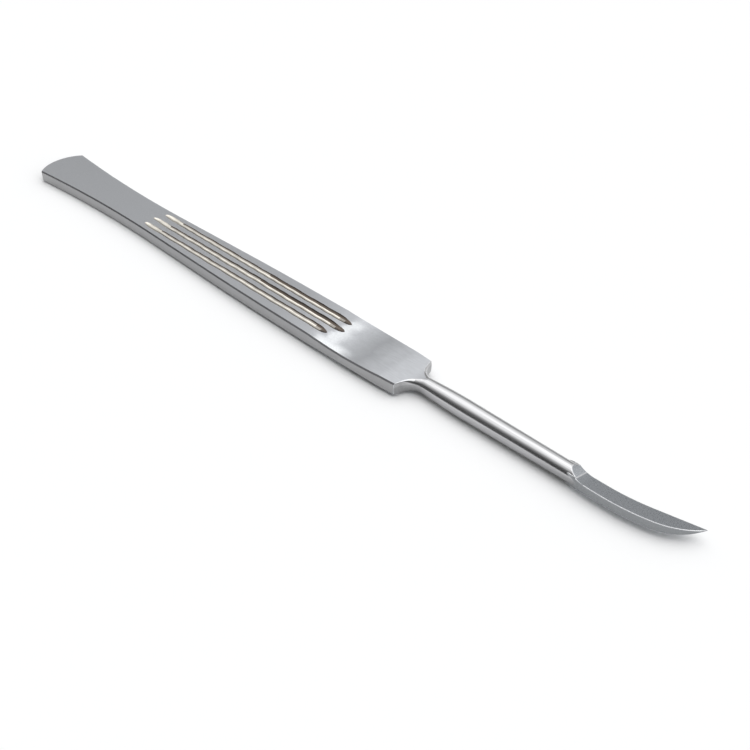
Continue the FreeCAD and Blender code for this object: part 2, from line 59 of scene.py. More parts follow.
# %% Sizes of the knife
MM = 0.001
LENGTH = 200.0
HANDLE = 133.1
THICKNESS = 3.0
TAIL_BOW, TAIL_HALF, TAIL_STRAIGHT, TAIL_CORNER = 2.6, 6.65, 0.05, 0.45
WAIST_X, WAIST_HALF = 38.0, 4.98
HIP_X, HIP_HALF, HIP_RADIUS = 94.0, 6.25, 950.0
FRONT_X, FRONT_HALF = 114.0, 6.42
SHOULDER_HALF = 5.7
SCOOP_X, SCOOP_DEPTH, SCOOP_RADIUS = 118.3, 0.3, 190.0
NECK_X, NECK_RADIUS, HOLLOW = 137.0, 1.87, 3.6
BELLY_X, BELLY_RADIUS, SWELL = 147.0, 2.17, 130.0
RAMP_X, RAMP_RADIUS = 133.8, 15.0
ROOT_X, ROOT_RADIUS, WHEEL = 178.0, 1.9, 6.5
SPINE_OUT, SPINE_THICKNESS, LAND = 2.13, 1.95, 0.1
FLARE_X, FLARE_RADIUS = 180.0, 34.0
SPINE_BEND, SPINE_RADIUS, SPINE_TURN = 182.0, 46.0, 192.0
EDGE_BEND, EDGE_RADIUS = 180.5, 46.0
TIP_OUT = 5.04
EDGE_BREAK = 0.3
BLADE_BREAK = 0.12
NEAR_ZERO = 0.001

TILT = math.atan((BELLY_RADIUS - THICKNESS / 2) / BELLY_X)
REST = (Matrix.Translation((-LENGTH / 2 * MM, 0, THICKNESS / 2 * MM))
        @ Matrix.Rotation(-TILT, 4, "Y"))
print("nose up by", round(math.degrees(TILT), 3), "degrees")

# %% [markdown]
# ## The plan of the handle
#
# The side of the handle is one smooth line: a hollow waist, a straight flare, a long bow to the
# hip, a straight flank, and a bow in towards the shoulder. Where a line touches two arcs that bend
# opposite ways, its slope follows from the two centres and radii alone.

# %% Half the width of the handle at any place


def slope_between(low, low_radius, high, high_radius):
    """Angle of the line that touches an arc bent up (low) and then an arc bent down (high)."""
    across, down = high[0] - low[0], low[1] - high[1]
    apart = math.hypot(across, down)
    return math.atan2(across, down) - math.acos((low_radius + high_radius) / apart)


def slope_to(centre, radius, point):
    """Angle of the line that leaves an arc bent up and runs to a point beyond it."""
    across, down = point[0] - centre[0], centre[1] - point[1]
    return math.atan2(across, down) - math.acos(radius / math.hypot(across, down))


WAIST_IN = TAIL_HALF - WAIST_HALF
WAIST_RADIUS = ((WAIST_X - TAIL_BOW) ** 2 + WAIST_IN ** 2) / (2 * WAIST_IN)
TAIL_RADIUS = ((TAIL_HALF - TAIL_STRAIGHT) ** 2 + TAIL_BOW ** 2) / (2 * TAIL_BOW)
FLANK = math.atan2(FRONT_HALF - HIP_HALF, FRONT_X - HIP_X)
WAIST_CENTRE = (WAIST_X, WAIST_HALF + WAIST_RADIUS)
HIP_CENTRE = (HIP_X + HIP_RADIUS * math.sin(FLANK), HIP_HALF - HIP_RADIUS * math.cos(FLANK))
FLARE = slope_between(WAIST_CENTRE, WAIST_RADIUS, HIP_CENTRE, HIP_RADIUS)
FLARE_START = WAIST_X + WAIST_RADIUS * math.sin(FLARE)
FLARE_END = HIP_CENTRE[0] - HIP_RADIUS * math.sin(FLARE)
CHORD = (HANDLE - FRONT_X, SHOULDER_HALF - FRONT_HALF)
CHORD_ASIDE = CHORD[0] * math.sin(FLANK) - CHORD[1] * math.cos(FLANK)
FRONT_RADIUS = math.hypot(*CHORD) ** 2 / 2 / CHORD_ASIDE
FRONT_CENTRE = (FRONT_X + FRONT_RADIUS * math.sin(FLANK),
                FRONT_HALF - FRONT_RADIUS * math.cos(FLANK))


def half_width(x):
    """From the middle line to the side of the handle."""
    off_waist = np.minimum(x, FLARE_START) - WAIST_X
    waist = WAIST_CENTRE[1] - np.sqrt(WAIST_RADIUS ** 2 - off_waist ** 2)
    flare = waist + np.clip(x - FLARE_START, 0, None) * math.tan(FLARE)
    hip = HIP_CENTRE[1] + np.sqrt(HIP_RADIUS ** 2 - (x - HIP_CENTRE[0]) ** 2)
    flank = HIP_HALF + (x - HIP_X) * math.tan(FLANK)
    reach = np.clip(x, FRONT_X, HANDLE) - FRONT_CENTRE[0]
    front = FRONT_CENTRE[1] + np.sqrt(FRONT_RADIUS ** 2 - reach ** 2)
    return np.select([x < FLARE_END, x < HIP_X, x < FRONT_X], [flare, hip, flank], front)


print("half widths", [round(float(half_width(np.array(v))), 2)
                      for v in (TAIL_BOW, WAIST_X, FLARE_END, HIP_X, FRONT_X, HANDLE)])

# %% [markdown]
# ## The turned shoulder and shank
#
# In front of the handle the steel is turned: a steep hollow shoulder, a thin neck, a slow swell
# to a belly, and a taper to the blade. It could be spun from a profile, but the handle's flat faces
# cut into it, so one function gives its radius at any place, and the sections below use that.

# %% Radius of the turned front
HOLLOW_CENTRE = (NECK_X, NECK_RADIUS + HOLLOW)
BELLY_CENTRE = (BELLY_X, BELLY_RADIUS - SWELL)
CORNER_RADIUS = math.hypot(SHOULDER_HALF, THICKNESS / 2)
RISE = slope_between(HOLLOW_CENTRE, HOLLOW, BELLY_CENTRE, SWELL)
RISE_START = NECK_X + HOLLOW * math.sin(RISE)
RISE_END = BELLY_X - SWELL * math.sin(RISE)
TO_NECK = (NECK_X - HANDLE, HOLLOW_CENTRE[1] - CORNER_RADIUS)
FACE = math.asin(HOLLOW / math.hypot(*TO_NECK)) - math.atan2(TO_NECK[1], TO_NECK[0])
FACE_LENGTH = math.sqrt(TO_NECK[0] ** 2 + TO_NECK[1] ** 2 - HOLLOW ** 2)
FACE_END = HANDLE + FACE_LENGTH * math.cos(FACE)
TO_ROOT = (ROOT_X - BELLY_X, ROOT_RADIUS - BELLY_CENTRE[1])
TAPER = math.atan2(*TO_ROOT) - math.acos(SWELL / math.hypot(*TO_ROOT))
TAPER_START = BELLY_X + SWELL * math.sin(TAPER)


def turned_radius(x):
    """Radius of the turned steel in front of the handle."""
    face = CORNER_RADIUS - (x - HANDLE) * math.tan(FACE)
    hollow = HOLLOW_CENTRE[1] - np.sqrt(np.clip(HOLLOW ** 2 - (x - NECK_X) ** 2, 0, None))
    rise = BELLY_CENTRE[1] + SWELL * math.cos(RISE) + (x - RISE_END) * math.tan(RISE)
    off_belly = np.clip(x, RISE_END, TAPER_START) - BELLY_X
    belly = BELLY_CENTRE[1] + np.sqrt(SWELL ** 2 - off_belly ** 2)
    taper = ROOT_RADIUS + (ROOT_X - x) * math.tan(TAPER)
    places = [x < FACE_END, x < RISE_START, x < RISE_END, x < TAPER_START]
    return np.select(places, [face, hollow, rise, belly], taper)


print("turned radii", [round(float(turned_radius(np.array(v))), 2)
                       for v in (HANDLE, FACE_END, RISE_START, BELLY_X, ROOT_X)])

# %% [markdown]
# ## The upper face
#
# A finger scoop dips across the face near its front, and three flutes run along it. A flute is
# ground by a wheel with a round edge: the wheel plunges in, runs along and lifts out, so the
# flute starts and ends in a point. A boolean would cut it with the triangles of the cutter, so its
# floor is worked out instead. The hand that held the knife wasn't quite steady, which a few slow
# waves in depth and place give back.

# %% Height of the face and the flutes
FLUTE_EDGE = 1.2
FLUTE_WHEEL = 34.0
FLUTES = (
    {"middle": -2.92, "plunge": 48.1, "lift": 106.5, "tail_depth": 0.25, "front_depth": 0.38},
    {"middle": 0.0, "plunge": 48.0, "lift": 107.9, "tail_depth": 0.25, "front_depth": 0.55},
    {"middle": 2.92, "plunge": 49.0, "lift": 107.9, "tail_depth": 0.25, "front_depth": 0.46},
)
WAVES = ({"pace": 0.83, "share": 1.0, "shift": 1.0},
         {"pace": 1.9, "share": 0.6, "shift": 2.3},
         {"pace": 0.31, "share": 0.5, "shift": 1.0})
WAVE_DEPTH, WAVE_ASIDE = 0.02, 0.035
MID_FLUTE = 80.0


def hand_wave(x, phase, size):
    """A slow uneven wave along the knife."""
    return size * sum(wave["share"] * np.sin(x * wave["pace"] + wave["shift"] * phase)
                      for wave in WAVES)


def face_height(x):
    """Height of the upper face above the middle plane, without the flutes."""
    scoop_floor = THICKNESS / 2 - SCOOP_DEPTH + SCOOP_RADIUS
    scoop = scoop_floor - np.sqrt(SCOOP_RADIUS ** 2 - (x - SCOOP_X) ** 2)
    ramp_reach = np.clip(x - RAMP_X, 0, RAMP_RADIUS / 2)
    ramp = THICKNESS / 2 + RAMP_RADIUS - np.sqrt(RAMP_RADIUS ** 2 - ramp_reach ** 2)
    return np.where(x < HANDLE, np.minimum(scoop, THICKNESS / 2), ramp)


def flute_floor(x, flute):
    """Height of a flute's deepest line above the middle plane."""
    start, stop = flute["plunge"], flute["lift"]
    along = np.clip((x - start) / (stop - start), 0, 1)
    depth = flute["tail_depth"] + (flute["front_depth"] - flute["tail_depth"]) * along
    beyond = np.clip(np.maximum(start - x, x - stop), 0, FLUTE_WHEEL / 2)
    lift = FLUTE_WHEEL - np.sqrt(FLUTE_WHEEL ** 2 - beyond ** 2)
    return THICKNESS / 2 - depth + lift + hand_wave(x, flute["middle"], WAVE_DEPTH)


def flute_half(x, flute):
    """Half the width of a flute where it meets the face."""
    depth = np.clip(face_height(x) - flute_floor(x, flute), 0, FLUTE_EDGE)
    return np.sqrt(FLUTE_EDGE ** 2 - (FLUTE_EDGE - depth) ** 2)


print("flute widths at mid-length",
      [round(2 * float(flute_half(np.array(MID_FLUTE), flute)), 2) for flute in FLUTES])

# %% [markdown]
# ## Columns of the mesh
#
# The skin of the knife is one sheet of quads rolled round it. Its rows are stations along the
# length, and its columns go round the section: up the near side, over the broken edge, across the
# face, and down the far side. Nine columns lie in each flute, two of them on its edges, so that
# those edges are true edges of the mesh. Beyond the flutes the columns spread evenly.

# %% Columns over the upper half of the section
SIDE_STEPS = np.array([0, 0.4, 0.8, 1.0])
ROUND_STEPS = np.radians([22.5, 45, 67.5])
BEVEL_STEPS = np.array([0.1, 0.5, 0.9])
FLUTE_COLUMNS = 9
ACROSS_FLUTE = np.sin(np.linspace(-math.pi / 2, math.pi / 2, FLUTE_COLUMNS))
BESIDE_FLUTE = 0.06
LEAST_REACH = 0.02
BETWEEN_FLUTES = 4
FACE_COLUMNS = len(FLUTES) * (FLUTE_COLUMNS - 1 + BETWEEN_FLUTES) + BETWEEN_FLUTES + 1
EVEN = np.linspace(-1, 1, FACE_COLUMNS)
HALF_COLUMNS = FACE_COLUMNS + 2 * (len(SIDE_STEPS) + len(ROUND_STEPS))
FLUTES_FROM, FLUTES_TO, SPREAD = 43.0, 113.5, 6.0


def smooth_step(x, start, stop):
    """From 0 at start to 1 at stop, with no kink at either end."""
    t = np.clip((x - start) / (stop - start), 0, 1)
    return t * t * (3 - 2 * t)


def flute_middle(x, flute):
    """Middle of a flute at one place along, which wanders a little to the side."""
    return flute["middle"] + float(hand_wave(x, 1.7 * flute["middle"] + 1, WAVE_ASIDE))


def face_columns(x, half):
    """Places across the face at one station, from one broken edge to the other."""
    bounds = [-half]
    columns = []
    for flute in FLUTES:
        reach = max(float(flute_half(x, flute)), LEAST_REACH)
        middle = flute_middle(x, flute)
        start = middle - reach
        gap = start - bounds[-1]
        columns += [bounds[-1], bounds[-1] + BESIDE_FLUTE, bounds[-1] + gap / 2,
                    start - BESIDE_FLUTE]
        columns += list(middle + reach * ACROSS_FLUTE[:-1])
        bounds.append(middle + reach)
    gap = half - bounds[-1]
    columns += [bounds[-1], bounds[-1] + BESIDE_FLUTE, bounds[-1] + gap / 2,
                half - BESIDE_FLUTE, half]
    apart = max(smooth_step(x, FLUTES_FROM, FLUTES_FROM - SPREAD),
                smooth_step(x, FLUTES_TO, FLUTES_TO + SPREAD))
    return (1 - apart) * np.array(columns) + apart * half * EVEN


print(len(face_columns(MID_FLUTE, HIP_HALF)), "columns on the face of", FACE_COLUMNS)

# %% [markdown]
# ## Sections
#
# A section is given by its upper half, as places Y and Z from the near side to the far side. On
# the handle it is a flat face between two edges broken by a narrow flat bevel, which catches the
# light as one thin line. At the shoulder it is a disc cut off flat, whose corner rounds more and
# more until the disc is whole: that is the shank.

# %% Sections of the handle, shoulder and shank
SHOULDER_ROUNDING, MOST_ROUNDING = 0.38, 0.97
ROUND_FROM, ROUND_TO = 134.2, 137.2
ROUND_ANGLES = np.linspace(math.pi, 0, HALF_COLUMNS)


def rounded_drop(inside, radius):
    """How far a rounded edge lies below the face, at a distance inside the side."""
    return radius - math.sqrt(radius ** 2 - max(radius - inside, 0) ** 2)


def flat_section(x, half, height, bevel):
    """Upper half of the handle's section, with its flutes."""
    side_z = SIDE_STEPS * (height - bevel)
    bevel_y = half - bevel * BEVEL_STEPS
    bevel_z = height - bevel * (1 - BEVEL_STEPS)
    face_y = face_columns(x, half - bevel)
    face_z = np.full(FACE_COLUMNS, height)
    for flute in FLUTES:
        off = face_y - flute_middle(x, flute)
        bowl = FLUTE_EDGE - np.sqrt(np.clip(FLUTE_EDGE ** 2 - off ** 2, 0, None))
        lowered = np.minimum(face_z, float(flute_floor(x, flute)) + bowl)
        face_z = np.where(np.abs(off) < float(flute_half(x, flute)), lowered, face_z)
    side_y = np.full(len(side_z), half)
    return (np.concatenate([-side_y, -bevel_y, face_y, bevel_y[::-1], side_y]),
            np.concatenate([side_z, bevel_z, face_z, bevel_z[::-1], side_z[::-1]]))


def cut_disc(radius, height, rounding, angles):
    """Distance from the axis to the skin of a disc cut off flat, with its corner rounded."""
    rise = height - rounding
    aside = math.sqrt(max((radius - rounding) ** 2 - rise ** 2, 0))
    steep = np.where(angles > math.pi / 2, math.pi - angles, angles)
    along = aside * np.cos(steep) + rise * np.sin(steep)
    corner = along + np.sqrt(np.clip(along ** 2 - aside ** 2 - rise ** 2 + rounding ** 2, 0, None))
    flat = height / np.maximum(np.sin(steep), NEAR_ZERO)
    side_end, flat_start = math.atan2(rise, aside), math.atan2(height, aside)
    return np.where(steep > flat_start, flat, np.where(steep < side_end, radius, corner))


def shoulder_section(x):
    """Upper half of the section from the shoulder to the round shank."""
    radius = float(turned_radius(np.array(x)))
    height = float(face_height(np.array(x)))
    if height >= radius or x > ROUND_TO:
        return radius * np.cos(ROUND_ANGLES), radius * np.sin(ROUND_ANGLES)
    rounding = min(EDGE_BREAK + SHOULDER_ROUNDING * (x - HANDLE), MOST_ROUNDING * height)
    rise = height - rounding
    aside = math.sqrt(max((radius - rounding) ** 2 - rise ** 2, 0))
    side = SIDE_STEPS * math.atan2(rise, aside)
    lean = side[-1] + (math.pi / 2 - side[-1]) * ROUND_STEPS / (math.pi / 2)
    arc = np.arctan2(rise + rounding * np.sin(lean), aside + rounding * np.cos(lean))
    face = np.arctan2(height, aside * EVEN)
    square = np.concatenate([math.pi - side, math.pi - arc, face, arc[::-1], side[::-1]])
    share = smooth_step(x, ROUND_FROM, ROUND_TO)
    angles = (1 - share) * square + share * ROUND_ANGLES
    skin = cut_disc(radius, height, rounding, angles)
    return skin * np.cos(angles), skin * np.sin(angles)


shoulder_width = 2 * float(shoulder_section(HANDLE + 1)[0].max())
print("section in front of the shoulder is", round(shoulder_width, 2), "mm wide")

# %% [markdown]
# ## The blade
#
# Seen from above, the back of the blade leaves the shank in a slow flare, runs straight and bows
# to the tip, and the cutting edge is hollow. In section it is a wedge: the height of its face
# grows evenly with the distance from the cutting edge. A grinding wheel left the round end of
# that face in the shank, which shows as a small bright facet.

# %% Plan and section of the blade
BEVEL = (SPINE_THICKNESS - LAND) / (2 * SPINE_OUT + 2 * ROOT_RADIUS)
STOCK_OVER = 0.5
STOCK_HALF = (SPINE_THICKNESS + STOCK_OVER) / 2
EDGE_CENTRE = (EDGE_BEND, ROOT_RADIUS + EDGE_RADIUS)
EDGE_RUN = slope_to(EDGE_CENTRE, EDGE_RADIUS, (LENGTH, TIP_OUT))
EDGE_TURN = (EDGE_BEND + EDGE_RADIUS * math.sin(EDGE_RUN),
             EDGE_CENTRE[1] - EDGE_RADIUS * math.cos(EDGE_RUN))
SPINE_CENTRE = (SPINE_BEND, SPINE_RADIUS - SPINE_OUT)
HEADING = math.asin((SPINE_TURN - SPINE_BEND) / SPINE_RADIUS)
TURN_OUT = SPINE_CENTRE[1] - SPINE_RADIUS * math.cos(HEADING)
TO_TIP = (LENGTH - SPINE_TURN, TIP_OUT - TURN_OUT)
TIP_ASIDE = TO_TIP[1] * math.cos(HEADING) - TO_TIP[0] * math.sin(HEADING)
TIP_RADIUS = math.hypot(*TO_TIP) ** 2 / 2 / TIP_ASIDE
TIP_CENTRE = (SPINE_TURN - TIP_RADIUS * math.sin(HEADING),
              TURN_OUT + TIP_RADIUS * math.cos(HEADING))


def arc_below(x, centre, radius):
    """Near side of a circle, at one place along."""
    return centre[1] - math.sqrt(radius ** 2 - (x - centre[0]) ** 2)


def spine_y(x):
    """Place of the back of the blade, on the near side."""
    if x < FLARE_X:
        return arc_below(x, (FLARE_X, FLARE_RADIUS - SPINE_OUT), FLARE_RADIUS)
    if x < SPINE_BEND:
        return -SPINE_OUT
    if x < SPINE_TURN:
        return arc_below(x, SPINE_CENTRE, SPINE_RADIUS)
    return arc_below(x, TIP_CENTRE, TIP_RADIUS)


def edge_y(x):
    """Place of the cutting edge, on the far side."""
    if x < EDGE_BEND:
        return ROOT_RADIUS
    if x < EDGE_TURN[0]:
        return arc_below(x, EDGE_CENTRE, EDGE_RADIUS)
    return EDGE_TURN[1] + (x - EDGE_TURN[0]) * math.tan(EDGE_RUN)


def bevel_height(x, y):
    """Height of the ground face: half the land, and more with the distance from the edge."""
    off_arc = np.hypot(x - EDGE_CENTRE[0], EDGE_CENTRE[1] - y) - EDGE_RADIUS
    turned = np.arctan2(x - EDGE_CENTRE[0], EDGE_CENTRE[1] - y)
    off_line = (x - EDGE_TURN[0]) * math.sin(EDGE_RUN) - (y - EDGE_TURN[1]) * math.cos(EDGE_RUN)
    away = np.select([turned < 0, turned < EDGE_RUN], [ROOT_RADIUS - y, off_arc], off_line)
    return LAND / 2 + BEVEL * np.maximum(away, 0)


BREAK_OF_WIDTH, BREAK_OF_BACK = 0.3, 0.4
EDGE_SHARE = 0.06
SHORT_STEP = 0.01


def blade_section(x):
    """Upper half of the blade's section, from its back to its cutting edge."""
    near, far = spine_y(x), edge_y(x)
    width = far - near
    lean = math.hypot(1, (near - spine_y(x - SHORT_STEP)) / SHORT_STEP)
    back = float(bevel_height(x, near))
    rounding = min(BLADE_BREAK, BREAK_OF_WIDTH * width / lean, BREAK_OF_BACK * back)
    arc_y = near + rounding * lean * (1 - np.cos(ROUND_STEPS))
    face_y = np.linspace(near + rounding * lean, far - EDGE_SHARE * width, FACE_COLUMNS)
    edge_columns = len(ROUND_STEPS) + len(SIDE_STEPS)
    last_y = np.linspace(face_y[-1], far, edge_columns)[1:]
    y = np.concatenate([np.full(len(SIDE_STEPS), near), arc_y, face_y, last_y, [far]])
    z = bevel_height(x, y)
    z[:len(SIDE_STEPS)] = SIDE_STEPS * (back - rounding)
    first = len(SIDE_STEPS)
    z[first:first + len(ROUND_STEPS)] -= rounding * (1 - np.sin(ROUND_STEPS))
    z[-1] = 0
    return y, z


print("blade's thickness at its back", [round(2 * float(bevel_height(v, spine_y(v))), 2)
                                       for v in (ROOT_X, SPINE_TURN, 198)])

# %% [markdown]
# The ground face runs out into the shank in a round, as deep as the wheel's radius makes it. At
# each place there are two skins, the blank's and the ground face's, and the steel ends at the
# inner one.

# %% Section of the blade's root
ROOT_FROM = 173.2
ROOT_SOFTNESS = 0.1
LEAST_SLANT, NOT_GROUND = 0.01, 99.0
ROOT_PLACES = blade_section(ROOT_X)
BLADE_ANGLES = np.arctan2(ROOT_PLACES[1], ROOT_PLACES[0])


def soft_minimum(first, second, softness):
    """The lower of two values, with the step between them rounded off."""
    near = np.clip(softness - np.abs(first - second), 0, None)
    return np.minimum(first, second) - near ** 2 / (4 * softness)


def root_parts(x):
    """Directions round the axis, with the distance to the blank's skin and to the ground face."""
    share = smooth_step(x, ROOT_X, ROOT_FROM)
    angles = (1 - share) * BLADE_ANGLES + share * ROUND_ANGLES
    sine, cosine = np.sin(angles), np.cos(angles)
    near_side = spine_y(x) / np.minimum(cosine, -NEAR_ZERO)
    side = np.where(cosine < 0, near_side, ROOT_RADIUS / np.maximum(cosine, NEAR_ZERO))
    stock = np.minimum(side, STOCK_HALF / np.maximum(sine, NEAR_ZERO))
    blank = np.maximum(float(turned_radius(np.array(x))), stock)
    run_out = (WHEEL - math.sqrt(WHEEL ** 2 - (ROOT_X - x) ** 2)) * math.hypot(1, BEVEL)
    slant = sine + BEVEL * cosine
    reach = (LAND / 2 + BEVEL * ROOT_RADIUS + run_out) / np.maximum(slant, LEAST_SLANT)
    return cosine, sine, blank, np.where(slant > LEAST_SLANT, reach, NOT_GROUND)


def root_section(x):
    """Upper half of the section where the ground face runs out into the shank."""
    cosine, sine, blank, ground = root_parts(x)
    skin = soft_minimum(blank, ground, ROOT_SOFTNESS)
    return skin * cosine, skin * sine


print("the root begins", round(ROOT_X - ROOT_FROM, 2), "mm before the blade")

# %% [markdown]
# ## Stations
#
# Rows lie close together where the form turns fast: at the tail's edge, at the ends of the flutes,
# down the steep shoulder, at the blade's root and at its tip. A subdivision modifier would put them
# everywhere. Near the tail the rows bow with it, so that the first one is the tail's own edge.

# %% Rows of the mesh
TAIL_REACH = 12.0
TAIL_ROWS = (0, 0.01, 0.04, 0.08, 0.13, 0.2, 0.31, 0.45, 0.7, 1.1, 1.7, 2.6, 3.8, 5.2, 7, 9)
TAIL_BEVEL_SHARE = 0.3
BOW_PASSES = 8
CORNER_ROW = 0.05


def steps(start, stop, pitch):
    """Even places from start up to, but not with, stop."""
    count = max(1, round((stop - start) / pitch))
    return list(np.linspace(start, stop, count, endpoint=False))


def tail_bow(y):
    """How far the tail's edge lies in from its foremost point, at a place across."""
    reach = np.clip(np.abs(y) - TAIL_STRAIGHT, 0, TAIL_RADIUS)
    return TAIL_RADIUS - np.sqrt(TAIL_RADIUS ** 2 - reach ** 2)


def handle_row(station):
    """Places of one row of the handle, which bows with the tail the more, the nearer it is."""
    fade = max(0, 1 - station / TAIL_REACH) ** 2
    half = TAIL_HALF
    for _ in range(BOW_PASSES):
        half = float(half_width(np.array(station + fade * tail_bow(half))))
    half -= rounded_drop(station, TAIL_CORNER)
    height = float(face_height(np.array(station))) - rounded_drop(station, EDGE_BREAK)
    bevel = EDGE_BREAK * min(1, TAIL_BEVEL_SHARE + (1 - TAIL_BEVEL_SHARE) * station / EDGE_BREAK)
    y, z = flat_section(station, half, height, bevel)
    return station + fade * tail_bow(y), y, z


def across_row(section):
    """Maker of rows that lie straight across, from a maker of sections."""
    def row(x):
        y, z = section(x)
        return np.full(len(y), x), y, z
    return row


def stretches(places, pitches):
    """Rows from place to place, at one pitch in each stretch."""
    return [x for start, stop, pitch in zip(places, places[1:], pitches)
            for x in steps(start, stop, pitch)]


LAST_ROW = HANDLE - CORNER_ROW
HANDLE_PLACES = (TAIL_REACH, 42, 51, 105, 114, LAST_ROW)
HANDLE_PITCHES = (2, 0.25, 0.45, 0.2, 0.6)
FACE_PITCH, HOLLOW_TURN, ROOT_PITCH = 0.04, 0.05, 0.07
BLADE_LAST = 199.9

HANDLE_ROWS = list(TAIL_ROWS) + stretches(HANDLE_PLACES, HANDLE_PITCHES) + [LAST_ROW, HANDLE]
FACE_ROWS = steps(HANDLE + CORNER_ROW, FACE_END, FACE_PITCH)
HOLLOW_ROWS = [NECK_X - HOLLOW * math.cos(turn) for turn in
               steps(math.acos((NECK_X - FACE_END) / HOLLOW), math.pi / 2, HOLLOW_TURN)]
SHANK_ROWS = stretches((NECK_X, 150, ROOT_FROM), (0.5, 1.2))
ROOT_ROWS = steps(ROOT_FROM, ROOT_X, ROOT_PITCH)
BLADE_ROWS = stretches((ROOT_X, 196, 199, BLADE_LAST), (0.25, 0.1, 0.06)) + [BLADE_LAST]
TURNED_ROWS = FACE_ROWS + HOLLOW_ROWS + SHANK_ROWS

rows = [handle_row(x) for x in HANDLE_ROWS]
rows += [across_row(shoulder_section)(x) for x in TURNED_ROWS]
rows += [across_row(root_section)(x) for x in ROOT_ROWS]
rows += [across_row(blade_section)(x) for x in BLADE_ROWS]
print(len(rows), "rows of", HALF_COLUMNS, "columns")

# %% [markdown]
# ## Which cell has which finish
#
# The flat faces are matt, and the sides are ground. The flutes and all that was turned are
# polished. The lips of the shoulder, the blade's back edge and the rim of the ground face carry a
# painted highlight: bright steel where they catch the light. A picture could hold all that, but
# each cell of the sheet can carry a finish by its row and column, with edges as sharp as the mesh.
#
# Across a flute three tones are painted, as a painted reflection of the room: the near wall and
# the far wall are painted dark as shade, and the floor is painted bright as a highlight from the
# lamps. At the tail end the whole flute is painted bright as a flash, and the point at the front
# end is painted dark as shade. The far wall is painted dark over more of its width where the flute
# is deep.

# %% Finishes of the cells
(FACE_FINISH, POLISH, SIDE_FINISH, BLADE_FINISH, BACK_FINISH, PAINTED_FLUTE_HIGHLIGHT, PAINTED_HALF_SHADE,
 SHADE_FINISH, PAINTED_HIGHLIGHT, LINE_FINISH, FACET_AND_CORNER_HIGHLIGHT) = range(11)
SIDE_CELLS, ROUND_CELLS = len(SIDE_STEPS) - 1, len(ROUND_STEPS) + 1
LEAST_FLUTE = 0.03
FLASH, GROWTH, RUN_OUT, DEEP_FROM = 0.7, 1.5, 1.8, 84.0
LIP_CELLS, LIP_TO = 2, ROUND_FROM + 1
# Widths of the painted highlight line behind the facet and on the rim of the ground face.
FACET_TO, FACET_HIGHLIGHT_LINE, RIM_HIGHLIGHT = 175.9, 0.25, 0.07


def between(sides, edges, face):
    """Finishes over the upper half: sides, broken edges, and the cells of the face."""
    near = [sides] * SIDE_CELLS + [edges] * ROUND_CELLS
    return near + list(face) + near[::-1]


def flute_finish(x, flute):
    """Across one flute, in painted tones: a near wall in painted shade, the floor as a painted
    highlight, and the far wall in painted shade.
    """
    cells = FLUTE_COLUMNS - 1
    if float(flute_half(np.array(x), flute)) < LEAST_FLUTE:
        return [FACE_FINISH] * cells
    # Painted highlight over the whole flute at its tail end, painted shade past its front end, and
    # painted tones across it between.
    if x < flute["plunge"] + FLASH:
        return [PAINTED_FLUTE_HIGHLIGHT] * cells
    if x < flute["plunge"] + FLASH + GROWTH:
        return [PAINTED_HALF_SHADE] * 2 + [PAINTED_FLUTE_HIGHLIGHT] * 5 + [SHADE_FINISH]
    if x > flute["lift"] + RUN_OUT:
        return [SHADE_FINISH] * cells
    if x > flute["lift"]:
        middle = [PAINTED_HALF_SHADE, PAINTED_FLUTE_HIGHLIGHT, PAINTED_HALF_SHADE]
        return [SHADE_FINISH] * 2 + middle + [SHADE_FINISH] * 3
    deep = flute["middle"] >= 0 and x > DEEP_FROM
    far_wall = [SHADE_FINISH] * 3 if deep else [PAINTED_HALF_SHADE] + [SHADE_FINISH] * 2
    return [SHADE_FINISH] + [PAINTED_HALF_SHADE] * 2 + [PAINTED_FLUTE_HIGHLIGHT] * 2 + far_wall


def handle_finish(x):
    """Matt face with its flutes, between edges that show as thin lines, and a painted highlight on
    the shoulder's corner.
    """
    if x < EDGE_BREAK:
        return between(SIDE_FINISH, LINE_FINISH, [FACE_FINISH] * (FACE_COLUMNS - 1))
    face = []
    for flute in FLUTES:
        face += [FACE_FINISH] * BETWEEN_FLUTES + flute_finish(x, flute)
    # At the shoulder the sides get a painted highlight, a bright line on the corner.
    sides = FACET_AND_CORNER_HIGHLIGHT if x > LAST_ROW - NEAR_ZERO else SIDE_FINISH
    return between(sides, LINE_FINISH, face + [FACE_FINISH] * BETWEEN_FLUTES)


def turned_finish(x):
    """Polish with a painted highlight on the lips beside the flat face, as far as that runs into
    the shank.
    """
    height = float(face_height(np.array(x)))
    on_face = shoulder_section(x)[1] > height - NEAR_ZERO
    cells = [FACE_FINISH if both else POLISH for both in on_face[1:] & on_face[:-1]]
    # Painted highlight on both lips of the shoulder.
    if x < LIP_TO:
        near_lip = SIDE_CELLS + ROUND_CELLS - LIP_CELLS
        far_lip = len(cells) - SIDE_CELLS - ROUND_CELLS
        for lip in (near_lip, far_lip):
            cells[lip:lip + LIP_CELLS] = [PAINTED_HIGHLIGHT] * LIP_CELLS
    # The shoulder's corner gets the same painted highlight.
    if x < HANDLE + CORNER_ROW:
        cells[:SIDE_CELLS] = cells[-SIDE_CELLS:] = [FACET_AND_CORNER_HIGHLIGHT] * SIDE_CELLS
    return cells


